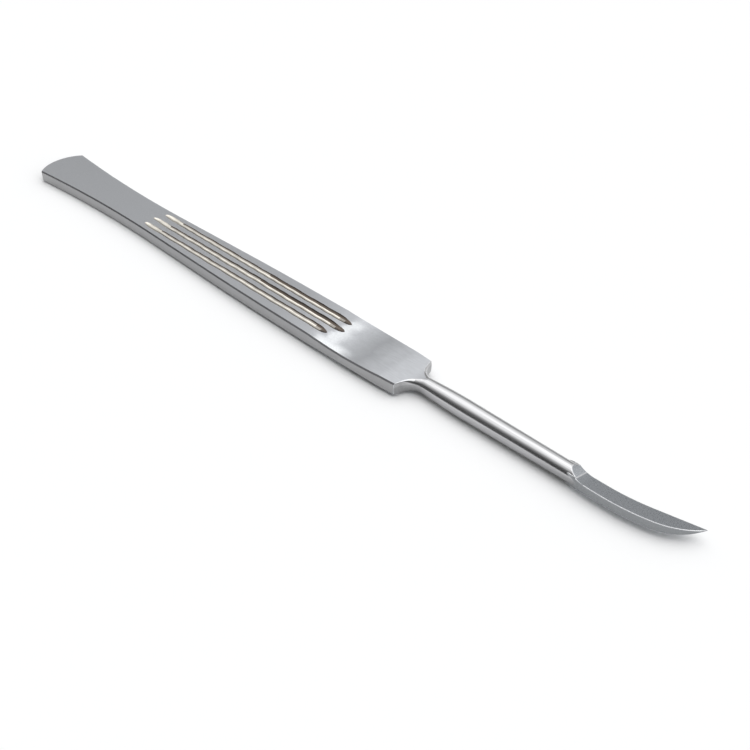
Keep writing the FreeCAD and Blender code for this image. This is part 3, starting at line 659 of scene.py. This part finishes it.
def root_finish(x):
    """The wheel's facet and the first of the blade's face, with a painted highlight line round and
    between.
    """
    cosine, _, blank, ground = root_parts(x)
    cut = ground < blank
    if x < FACET_TO:
        flat = FACET_AND_CORNER_HIGHLIGHT
    else:
        flat = PAINTED_HIGHLIGHT if x < FACET_TO + FACET_HIGHLIGHT_LINE else BLADE_FINISH
    cells = [flat if both else POLISH for both in cut[1:] & cut[:-1]]
    stock = (blank > float(turned_radius(np.array(x))) + NEAR_ZERO) & (cosine < 0) & ~cut
    for cell in np.flatnonzero(stock[1:]):
        cells[cell] = BACK_FINISH
    # Painted highlight lines on the rim of the ground face and where facet and face meet.
    rim = (np.abs(ground - blank) < RIM_HIGHLIGHT) & (ground < NOT_GROUND)
    for edge in np.flatnonzero((rim[1:] & rim[:-1]) | (cut[1:] != cut[:-1])):
        cells[edge] = PAINTED_HIGHLIGHT
    return cells


def blade_finish(x):
    """Thick back, a painted highlight on the back edge, and the ground face as far as the cutting
    edge.
    """
    near = [BACK_FINISH] * SIDE_CELLS + [PAINTED_HIGHLIGHT] * ROUND_CELLS
    return near + [BLADE_FINISH] * (HALF_COLUMNS - 1 - len(near))


finishes = [[SIDE_FINISH] * (HALF_COLUMNS - 1)]
finishes += [handle_finish(x) for x in HANDLE_ROWS]
finishes += [turned_finish(x) for x in TURNED_ROWS]
finishes += [root_finish(x) for x in ROOT_ROWS]
finishes += [blade_finish(x) for x in BLADE_ROWS]
finishes = np.array(finishes)
finishes = np.concatenate([finishes, finishes[:, ::-1]], axis=1)
print("cells of each finish", np.bincount(finishes.ravel()).tolist())

# %% [markdown]
# ## One sheet rolled round the knife
#
# Blender's grid primitive is that sheet. Its rows go to the stations and its columns round the
# section, the lower half being the mirror of the upper. The first and last rows lie flat on the
# middle plane, so merging points that coincide closes the seam and both ends at once.

# %% The knife's mesh
MERGE = 1e-8


def sheet_places(rows):
    """Places of the sheet's points: the rows, closed by a flat row at each end."""
    table = []
    for x, y, z in [rows[0]] + rows + [rows[-1]]:
        table.append(np.stack([np.concatenate([x, x[-2::-1]]), np.concatenate([y, y[-2::-1]]),
                               np.concatenate([z, -z[-2::-1]])], axis=1))
    table = np.array(table)
    table[0, :, 2] = 0
    table[-1] = (LENGTH, TIP_OUT, 0)
    return table * MM


places = sheet_places(rows)
row_count, column_count = places.shape[:2]
bpy.ops.mesh.primitive_grid_add(x_subdivisions=column_count - 1, y_subdivisions=row_count - 1,
                                size=LENGTH * MM)
knife = bpy.context.object
knife.name = knife.data.name = "knife"
knife.data.materials.clear()
assert len(knife.data.vertices) == row_count * column_count
knife.data.vertices.foreach_set("co", places.astype(np.float32).ravel())
knife.data.polygons.foreach_set("material_index", finishes.ravel().astype(np.int32))
knife.data.transform(REST)
print(knife.name, len(knife.data.vertices), "points,", len(knife.data.polygons), "quads")

# %% [markdown]
# Merging what coincides turns the sheet into one closed skin. Faces that meet at less than 24
# degrees shade as one surface, so that the flutes' edges and the blade's lines stay crisp.

# %% Close and smooth the skin
CRISP = math.radians(24)
bpy.ops.object.mode_set(mode="EDIT")
bpy.ops.mesh.select_all(action="SELECT")
bpy.ops.mesh.remove_doubles(threshold=MERGE)
bpy.ops.mesh.normals_make_consistent(inside=False)
bpy.ops.object.mode_set(mode="OBJECT")
bpy.ops.object.shade_smooth_by_angle(angle=CRISP)
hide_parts("scalpel")
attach(knife, "root")
print(len(knife.data.vertices), "points and", len(knife.data.polygons), "faces once closed")

# %% [markdown]
# ## Marks in the steel
#
# Steel shows how it was worked: a blasted face has a fine even grain, a brushed one has short lines
# along the stroke, a turned one has long lines along the polish. Pictures of such marks would show
# their pixels close by, so one node group makes all of them, from noise stretched by different
# amounts. A second group lets a mark lighten and darken a colour.

# %% Node groups for marks
def new_group(name, inputs, outputs):
    """Empty node group with its sockets, given as (name, type)."""
    tree = bpy.data.node_groups.new(name, "ShaderNodeTree")
    for socket, kind in inputs:
        tree.interface.new_socket(socket, in_out="INPUT", socket_type=kind)
    for socket, kind in outputs:
        tree.interface.new_socket(socket, in_out="OUTPUT", socket_type=kind)
    return tree, tree.nodes.new("NodeGroupInput"), tree.nodes.new("NodeGroupOutput")


def math_node(tree, operation, first, second):
    """Result of a sum on two sockets or numbers."""
    node = tree.nodes.new("ShaderNodeMath")
    node.operation = operation
    for socket, value in zip(node.inputs, (first, second)):
        if isinstance(value, (int, float)):
            socket.default_value = value
        else:
            tree.links.new(value, socket)
    return node.outputs["Value"]


def ease(tree, value, start, stop, low=0.0, high=1.0, way="SMOOTHSTEP"):
    """Value that goes from low to high while the input goes from start to stop."""
    node = tree.nodes.new("ShaderNodeMapRange")
    node.interpolation_type = way
    tree.links.new(value, node.inputs["Value"])
    ends = {"From Min": start, "From Max": stop, "To Min": low, "To Max": high}
    for socket, number in ends.items():
        node.inputs[socket].default_value = number
    return node.outputs["Result"]


VECTOR, VALUE, COLOUR = "NodeSocketVector", "NodeSocketFloat", "NodeSocketColor"
NOISE_LOW, NOISE_HIGH = 0.25, 0.75

marks, enter, leave = new_group("marks", [("Vector", VECTOR), ("Stretch", VECTOR)],
                                [("Mark", VALUE)])
stretch = marks.nodes.new("ShaderNodeVectorMath")
stretch.operation = "MULTIPLY"
marks.links.new(enter.outputs["Vector"], stretch.inputs[0])
marks.links.new(enter.outputs["Stretch"], stretch.inputs[1])
noise = marks.nodes.new("ShaderNodeTexNoise")
noise.inputs["Scale"].default_value = 1
noise.inputs["Detail"].default_value = 3
noise.inputs["Roughness"].default_value = 0.6
marks.links.new(stretch.outputs["Vector"], noise.inputs["Vector"])
marks.links.new(ease(marks, noise.outputs["Fac"], NOISE_LOW, NOISE_HIGH), leave.inputs["Mark"])

shaded, enter, leave = new_group("shaded", [("Color", COLOUR), ("Mark", VALUE), ("Amount", VALUE)],
                                 [("Color", COLOUR)])
around = math_node(shaded, "SUBTRACT", enter.outputs["Mark"], 0.5)
by_amount = math_node(shaded, "MULTIPLY", around, enter.outputs["Amount"])
factor = math_node(shaded, "ADD", by_amount, 1.0)
scale = shaded.nodes.new("ShaderNodeVectorMath")
scale.operation = "SCALE"
shaded.links.new(enter.outputs["Color"], scale.inputs[0])
shaded.links.new(factor, scale.inputs["Scale"])
shaded.links.new(scale.outputs["Vector"], leave.inputs["Color"])
print("groups", [group.name for group in (marks, shaded)])

# %% [markdown]
# Two more groups need to know where on the knife a point lies. Object coordinates are in metres
# from the middle of the knife, so a helper turns them into millimetres from the tail.

# %% Places on the knife
def knife_places(tree, vector):
    """Millimetres from the tail, across, and above the surface it lies on."""
    split = tree.nodes.new("ShaderNodeSeparateXYZ")
    tree.links.new(vector, split.inputs["Vector"])
    from_tail = math_node(tree, "ADD", split.outputs["X"], LENGTH / 2 * MM)
    return [math_node(tree, "MULTIPLY", socket, 1 / MM)
            for socket in (from_tail, split.outputs["Y"], split.outputs["Z"])]


print("1 m is", 1 / MM, "mm")

# %% [markdown]
# ## Wear of the face, and its painted sheen
#
# The front of the face was worked by hand after the flutes were ground, so the brushed front is
# lighter than the matt tail. Where the flutes run out and the scoop dips, a bright stretch, most of
# all beside the near edge, and a duller band after it are painted in: a painted highlight and a
# painted shade for the way the scoop's slope mirrors the room. Then comes the brushed front. It
# could be painted by hand, but a ramp along the knife is easier to change. This cell gives that
# ramp.

# %% Lightness along the face
# The rise near 113 mm and the dip near 122 mm are painted highlight and painted shade of the scoop;
# the step from the tail to the front is the real change of finish.
LIGHTNESS = ((96, 0.385), (106, 0.45), (110, 0.48), (113, 0.6), (115, 0.55), (118, 0.45),
             (122, 0.36), (126, 0.48), (131, 0.54), (136, 0.58))
COOL = (0.97, 0.995, 1.04)
RAGGED = 1.5


def fill_ramp(ramp, stops):
    """Give a ramp its colours, as (place from 0 to 1, colour)."""
    while len(ramp.elements) < len(stops):
        ramp.elements.new(0.5)
    for element, (position, colour) in zip(ramp.elements, stops):
        element.position = position
        element.color = (*colour, 1)


wear, enter, leave = new_group(
    "face_wear_and_painted_sheen", [("Vector", VECTOR), ("Mark", VALUE), ("Grain", VALUE), ("Brush", VALUE)],
    [("Lightness", COLOUR), ("Mark", VALUE)])
along, across, _ = knife_places(wear, enter.outputs["Vector"])
around = math_node(wear, "SUBTRACT", enter.outputs["Mark"], 0.5)
ragged = math_node(wear, "MULTIPLY", around, RAGGED)
place = math_node(wear, "ADD", along, ragged)
ramp_from, ramp_length = float(LIGHTNESS[0][0]), float(LIGHTNESS[-1][0] - LIGHTNESS[0][0])
ramp = wear.nodes.new("ShaderNodeValToRGB")
fraction = math_node(wear, "DIVIDE", math_node(wear, "SUBTRACT", place, ramp_from), ramp_length)
wear.links.new(fraction, ramp.inputs["Fac"])
fill_ramp(ramp.color_ramp, [((x - ramp_from) / ramp_length, [light * tint for tint in COOL])
                            for x, light in LIGHTNESS])
print("lightness from", ramp_from, "over", ramp_length, "mm")

# %% [markdown]
# Two painted highlights lie over that ramp, as bright patches in the colour: one beside the near
# edge, and one round the ends of the flutes, fainter towards the far edge. In front of them brush
# marks take the place of the grain.

# %% Painted highlight patches and brush marks
# Colour of the two painted highlight patches.
PAINTED_SHEEN_PATCH = (0.84, 0.86, 0.88, 1)
EDGE_RISE, EDGE_FALL, EDGE_SIDE = (108, 112), (121, 116), (-3.2, -5.4)
ENDS_RISE, ENDS_FALL, ENDS_SIDE = (110.5, 112), (116, 113), (5.4, 3.6)
ENDS_LEAST, ENDS_MOST = 0.1, 0.75
BRUSHED_FROM, BRUSHED_TO = 119, 124


def patch(tree, along, rise, fall, side):
    """Mask that rises and falls along the knife, times a mask across it."""
    band = math_node(tree, "MULTIPLY", ease(tree, along, *rise), ease(tree, along, *fall))
    return math_node(tree, "MULTIPLY", band, side)


near_side = ease(wear, across, *EDGE_SIDE)
beside_edge = patch(wear, place, EDGE_RISE, EDGE_FALL, near_side)
all_but_far = ease(wear, across, *ENDS_SIDE, ENDS_LEAST, ENDS_MOST)
flute_ends = patch(wear, place, ENDS_RISE, ENDS_FALL, all_but_far)
bright = wear.nodes.new("ShaderNodeMix")
bright.data_type = "RGBA"
wear.links.new(math_node(wear, "MAXIMUM", beside_edge, flute_ends), bright.inputs["Factor"])
wear.links.new(ramp.outputs["Color"], bright.inputs["A"])
bright.inputs["B"].default_value = PAINTED_SHEEN_PATCH
wear.links.new(bright.outputs["Result"], leave.inputs["Lightness"])
brushed = ease(wear, place, BRUSHED_FROM, BRUSHED_TO)
unbrushed = math_node(wear, "SUBTRACT", 1.0, brushed)
grain = math_node(wear, "MULTIPLY", enter.outputs["Grain"], unbrushed)
brush = math_node(wear, "MULTIPLY", enter.outputs["Brush"], brushed)
wear.links.new(math_node(wear, "ADD", grain, brush), leave.inputs["Mark"])
print("face_wear_and_painted_sheen has", len(wear.nodes), "nodes")

# %% [markdown]
# ## Painted shade under the shank
#
# The polish is painted darker on the underside of the shank, more so towards the blade's root and
# the neck, and darker in the shoulder's hollow: painted shade where the steel lies in its own
# shadow. A second polished material would end at a hard line, so a group gives a tone that
# changes slowly: 0.5 where there is no painted shade, and less where there is.

# %% Tone of the polish, with its painted shade
UNSHADED_TONE = 0.5
UNDER_FROM, UNDER_TO = 0.95, 0.3
UNDER_SHADE, ROOT_SHADE, NECK_SHADE, SHOULDER_SHADE = 0.26, 0.42, 0.16, 0.25
SHADE_TO_ROOT, SHADE_TO_NECK, SHADE_IN_SHOULDER = (162, ROOT_X), (141, 136), (136.5, 133.5)

# A tone for the painted shade on the polish.
shank_shade, enter, leave = new_group("painted_shade_on_polish", [("Vector", VECTOR)], [("Tone", VALUE)])
along, _, height = knife_places(shank_shade, enter.outputs["Vector"])
axis = math_node(shank_shade, "ADD", math_node(shank_shade, "MULTIPLY", along, math.tan(TILT)), THICKNESS / 2)
under = ease(shank_shade, math_node(shank_shade, "SUBTRACT", height, axis), UNDER_FROM, UNDER_TO)
to_root = ease(shank_shade, along, *SHADE_TO_ROOT, UNDER_SHADE, ROOT_SHADE)
loss = math_node(shank_shade, "ADD", to_root, ease(shank_shade, along, *SHADE_TO_NECK, 0.0, NECK_SHADE))
in_shoulder = ease(shank_shade, along, *SHADE_IN_SHOULDER, 0.0, SHOULDER_SHADE)
most = math_node(shank_shade, "MAXIMUM", math_node(shank_shade, "MULTIPLY", under, loss), in_shoulder)
shank_shade.links.new(math_node(shank_shade, "SUBTRACT", UNSHADED_TONE, most), leave.inputs["Tone"])
# Below this height over the axis the polish is painted darker, as shade.
print("polish is painted darker below", UNDER_TO, "mm over the shank's axis")

# %% [markdown]
# ## Steels
#
# Each finish is a metal with its own colour and roughness, shaded by its own marks. All of them
# come from one function. The face and the polish pass through a function of their own on the way,
# which adds the wear and painted sheen of the one and the painted shade of the other.

# %% A steel
SMUDGED, BRUSHED = (160, 300, 300), (380, 3600, 3600)
ROUGHEST, SMOOTHEST = 1.15, 0.85


def add_group(tree, group, **values):
    """Node of a group, with its inputs given as sockets or as values."""
    node = tree.nodes.new("ShaderNodeGroup")
    node.node_tree = group
    for socket, value in values.items():
        if isinstance(value, bpy.types.NodeSocket):
            tree.links.new(value, node.inputs[socket])
        else:
            node.inputs[socket].default_value = value
    return node


def wear_and_sheen_of_face(tree, where, colour, grain):
    """Colour and marks of the matt face, with its wear and its painted sheen."""
    smudge = add_group(tree, marks, Vector=where, Stretch=SMUDGED).outputs["Mark"]
    brush = add_group(tree, marks, Vector=where, Stretch=BRUSHED).outputs["Mark"]
    face = add_group(tree, wear, Vector=where, Mark=smudge, Grain=grain, Brush=brush)
    return face.outputs["Lightness"], face.outputs["Mark"]


def painted_shade_places(tree, where, colour, mark):
    """Colour of the polish, darker where shade is painted on it, and its marks as they are."""
    tone = add_group(tree, shank_shade, Vector=where).outputs["Tone"]
    return add_group(tree, shaded, Color=colour, Mark=tone, Amount=1.0).outputs["Color"], mark


def steel(name, tint, roughness, stretch, amount, worked=None):
    """Metal with one kind of mark, and with a function of its own for how it was worked."""
    material = bpy.data.materials.new(name)
    material.use_nodes = True
    tree = material.node_tree
    shader = tree.nodes["Principled BSDF"]
    shader.inputs["Metallic"].default_value = 1
    where = tree.nodes.new("ShaderNodeTexCoord").outputs["Object"]
    colour = (*tint, 1)
    mark = add_group(tree, marks, Vector=where, Stretch=stretch).outputs["Mark"]
    if worked:
        colour, mark = worked(tree, where, colour, mark)
    toned = add_group(tree, shaded, Color=colour, Mark=mark, Amount=amount)
    tree.links.new(toned.outputs["Color"], shader.inputs["Base Color"])
    rough = ease(tree, mark, 0, 1, SMOOTHEST * roughness, ROUGHEST * roughness)
    tree.links.new(rough, shader.inputs["Roughness"])
    return material


print("roughness goes from", SMOOTHEST, "to", ROUGHEST, "times its value")

# %% [markdown]
# The grains are so fine that they show only close by. The flutes' tones are painted: the warm
# bright floor is a painted reflection of a warm lamp, and the dark brown walls are painted shade.

# %% The finishes of the knife
GRAIN, FINE, ALONG = (3200, 3200, 3200), (6000, 6000, 6000), (70, 5200, 5200)
STEELS = {
    # The face's colour carries its wear and the painted sheen and shade of the scoop.
    FACE_FINISH: steel("matt_face", (0.42, 0.43, 0.45), 0.4, GRAIN, 0.16, wear_and_sheen_of_face),
    # The polish is painted darker under the shank and in the shoulder, as painted shade.
    POLISH: steel("polished", (0.56, 0.56, 0.57), 0.19, ALONG, 0.25, painted_shade_places),
    SIDE_FINISH: steel("ground_side", (0.37, 0.37, 0.375), 0.35, GRAIN, 0.1),
    BLADE_FINISH: steel("blade_face", (0.4, 0.42, 0.445), 0.3, FINE, 0.05),
    BACK_FINISH: steel("blade_back", (0.28, 0.29, 0.3), 0.3, FINE, 0.05),
    # The flute's three steels are painted tones: the floor a painted highlight, the walls painted
    # half-shade and painted shade.
    PAINTED_FLUTE_HIGHLIGHT: steel("flute_floor", (0.64, 0.61, 0.55), 0.14, ALONG, 0.3),
    PAINTED_HALF_SHADE: steel("flute_painted_half_shade", (0.33, 0.31, 0.285), 0.2, ALONG, 0.3),
    SHADE_FINISH: steel("flute_wall_painted_shade", (0.12, 0.1, 0.085), 0.25, ALONG, 0.3),
    # Bright steel on lips and edges: a painted highlight.
    PAINTED_HIGHLIGHT: steel("painted_highlight_edge", (0.8, 0.81, 0.83), 0.25, FINE, 0.05),
    LINE_FINISH: steel("edge_line", (0.42, 0.42, 0.44), 0.2, ALONG, 0.2),
    # The root's facet, and a painted highlight on the shoulder's corner.
    FACET_AND_CORNER_HIGHLIGHT: steel("root_facet_and_corner_highlight", (0.58, 0.605, 0.64), 0.25, FINE, 0.05),
}
for finish in sorted(STEELS):
    knife.data.materials.append(STEELS[finish])
print("finishes", [slot.name for slot in knife.material_slots])

# %% [markdown]
# ## Floor
#
# The knife lies on white paper. A plain matt plane does for it, so large that its edge is out of
# sight. It has no gloss, which would show the lamps in it.

# %% Floor
FLOOR_SIZE = 20
PAPER_WHITE = (0.975, 0.98, 0.985, 1)
bpy.ops.mesh.primitive_plane_add(size=FLOOR_SIZE)
floor = bpy.context.object
floor.name = "floor"
paper = bpy.data.materials.new("white_paper")
paper.use_nodes = True
card = paper.node_tree.nodes["Principled BSDF"]
card.inputs["Base Color"].default_value = PAPER_WHITE
card.inputs["Roughness"].default_value = 1
card.inputs["Specular IOR Level"].default_value = 0
floor.data.materials.append(paper)
print("floor", FLOOR_SIZE, "m wide")

# %% [markdown]
# ## Studio light
#
# Polished steel shows nothing but the room. In the photograph a wide lamp hangs over the knife, a
# little to the far side, and the near side of the room is dark: that gives the shank its white band
# and the black one below it. Area lamps would show their sharp ends in the steel, so the world
# itself holds the room, as bands of light that run along the knife, from the far horizon (-90
# degrees) over the top to the near one. The end behind the tail is half as bright.

# %% Bands of light
GLOW = [(-90, 0.3), (-75, 0.33), (-43, 1.0), (-30, 1.4), (-24, 1.65), (-5, 1.65), (17, 1.2),
        (30, 0.7), (43, 0.35), (55, 0.13), (70, 0.09), (90, 0.09)]
BRIGHTEST = 2
LEVEL = 2.15
BEHIND_FROM, BEHIND_TO = -0.85, -0.6

world = bpy.data.worlds.new("studio")
bpy.context.scene.world = world
world.use_nodes = True
tree = world.node_tree
tree.nodes.clear()
room = tree.nodes.new("ShaderNodeBackground")
split = tree.nodes.new("ShaderNodeSeparateXYZ")
tree.links.new(tree.nodes.new("ShaderNodeTexCoord").outputs["Generated"], split.inputs["Vector"])
to_near = math_node(tree, "MULTIPLY", split.outputs["Y"], -1)
turn = math_node(tree, "ARCTAN2", to_near, split.outputs["Z"])
bands = tree.nodes.new("ShaderNodeValToRGB")
tree.links.new(ease(tree, turn, -math.pi / 2, math.pi / 2, way="LINEAR"), bands.inputs["Fac"])
fill_ramp(bands.color_ramp, [((degrees + 90) / 180, [glow / BRIGHTEST] * 3)
                             for degrees, glow in GLOW])
tree.links.new(bands.outputs["Color"], room.inputs["Color"])
strength = ease(tree, split.outputs["X"], BEHIND_FROM, BEHIND_TO, LEVEL / 2, LEVEL, way="LINEAR")
tree.links.new(strength, room.inputs["Strength"])
print("bands of light", len(GLOW))

# %% [markdown]
# The camera itself sees plain white beyond the floor, so that the picture has no horizon. That
# changes no light on the knife, and the steel goes on mirroring the room: white all round would
# take its dark bands away.

# %% White beyond the floor
backdrop = tree.nodes.new("ShaderNodeBackground")
backdrop.inputs["Color"].default_value = (1, 1, 1, 1)
seen = tree.nodes.new("ShaderNodeMixShader")
tree.links.new(tree.nodes.new("ShaderNodeLightPath").outputs["Is Camera Ray"], seen.inputs["Fac"])
tree.links.new(room.outputs["Background"], seen.inputs[1])
tree.links.new(backdrop.outputs["Background"], seen.inputs[2])
output = tree.nodes.new("ShaderNodeOutputWorld")
tree.links.new(seen.outputs["Shader"], output.inputs["Surface"])
print("world", world.name, "has", len(tree.nodes), "nodes")

# %% [markdown]
# ## Camera
#
# The place and the lens come from the outline in the photograph, measured on the knife laid flat,
# so the camera is placed there and then moved with the knife into the frame.

# %% Camera
EYE = Vector((257.78, -135.68, 143.96)) * MM
YAW, PITCH = math.radians(135), math.radians(37.888)
FOCAL_LENGTH, SENSOR = 54.24, 36
NEAREST = 0.01

lens = bpy.data.cameras.new("camera")
lens.lens = FOCAL_LENGTH
lens.sensor_width = SENSOR
lens.clip_start = NEAREST
camera = bpy.data.objects.new("camera", lens)
bpy.context.collection.objects.link(camera)
aim = Vector((math.cos(PITCH) * math.cos(YAW), math.cos(PITCH) * math.sin(YAW), -math.sin(PITCH)))
turned = aim.to_track_quat("-Z", "Y").to_matrix().to_4x4()
camera.matrix_world = REST @ Matrix.Translation(EYE) @ turned
bpy.context.scene.camera = camera
bpy.context.scene.view_settings.view_transform = "Standard"
print("camera", [round(value, 3) for value in camera.matrix_world.translation])
